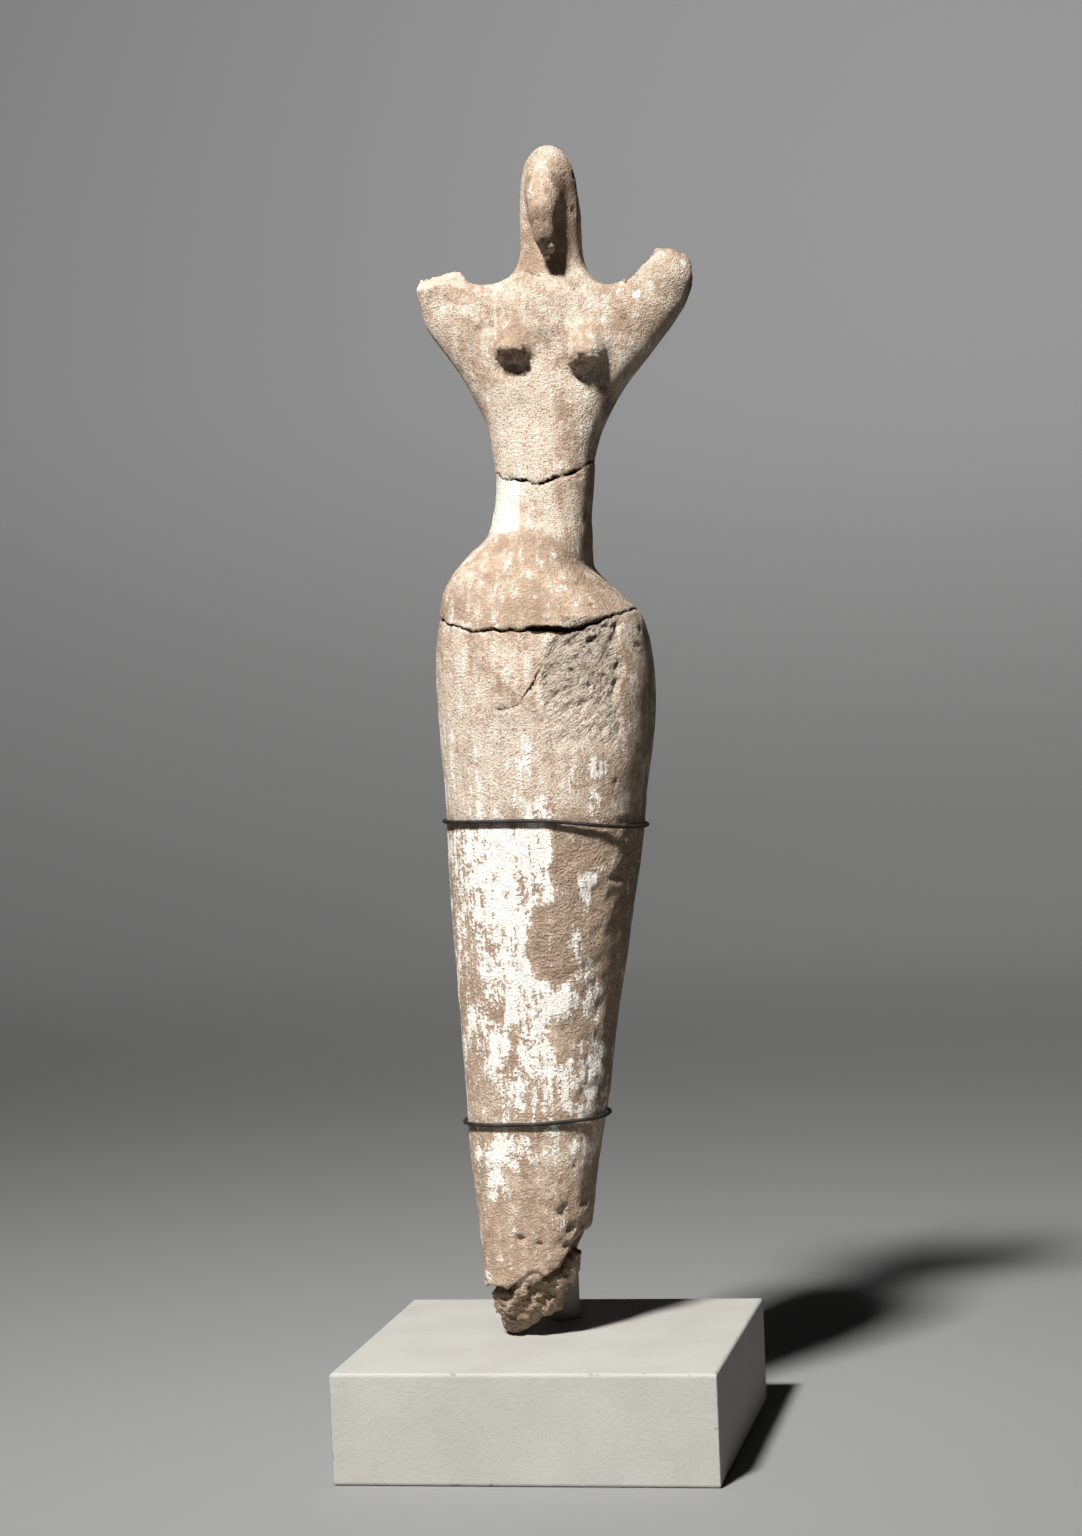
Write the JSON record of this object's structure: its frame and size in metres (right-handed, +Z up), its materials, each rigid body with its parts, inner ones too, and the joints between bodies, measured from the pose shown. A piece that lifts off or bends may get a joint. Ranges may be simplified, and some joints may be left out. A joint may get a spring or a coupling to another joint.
{
  "type": "clay figurine on stand",
  "caption": "Worn clay figurine of a standing woman with a beaked head and broken arms and feet, wired to a dowel on a small block.",
  "frame": {"origin": "centre of the block's underside, on the surface that it stands on", "axes": "+Z up along the figurine, the figurine faces -Y, and +X is on the viewer's right from the front"},
  "size_m": [0.098, 0.0954, 0.3374],
  "materials": {
    "painted_clay": "unglazed fired clay with worn chalky white paint",
    "block_paint": "wood under matt pale grey paint",
    "rod_paint": "wooden dowel under matt pale grey paint",
    "tie_wire": "dark annealed iron wire"
  },
  "bodies": {
    "root": {"figurine": "painted_clay", "mount_block": "block_paint", "support_rod": "rod_paint", "upper_wire": "tie_wire", "lower_wire": "tie_wire"}
  },
  "joints": []
}
